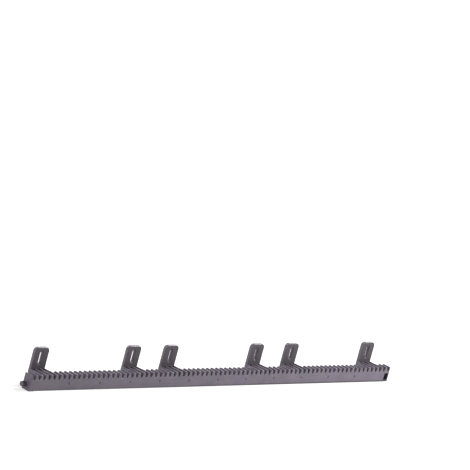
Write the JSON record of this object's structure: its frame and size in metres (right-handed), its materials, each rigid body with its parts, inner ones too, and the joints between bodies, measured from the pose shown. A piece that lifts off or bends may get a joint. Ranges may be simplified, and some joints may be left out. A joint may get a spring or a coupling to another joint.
{
  "type": "gear rack",
  "caption": "Moulded plastic gear rack with straight module 4 teeth along its top, slotted fixing lugs behind, and a peg and pocket that join racks end to end.",
  "frame": {"origin": "middle of the bar's flat underside, which is the face it rests on", "axes": "+X along the rack towards its pocket end, +Y towards the gate, +Z the way the teeth point"},
  "size_m": [1.0028, 0.0395, 0.07],
  "materials": {
    "glass_filled_nylon": "fine moulded grain, dark purplish grey, soft sheen on edges and tooth tips"
  },
  "bodies": {
    "root": {"gear_rack": "glass_filled_nylon"}
  },
  "joints": []
}
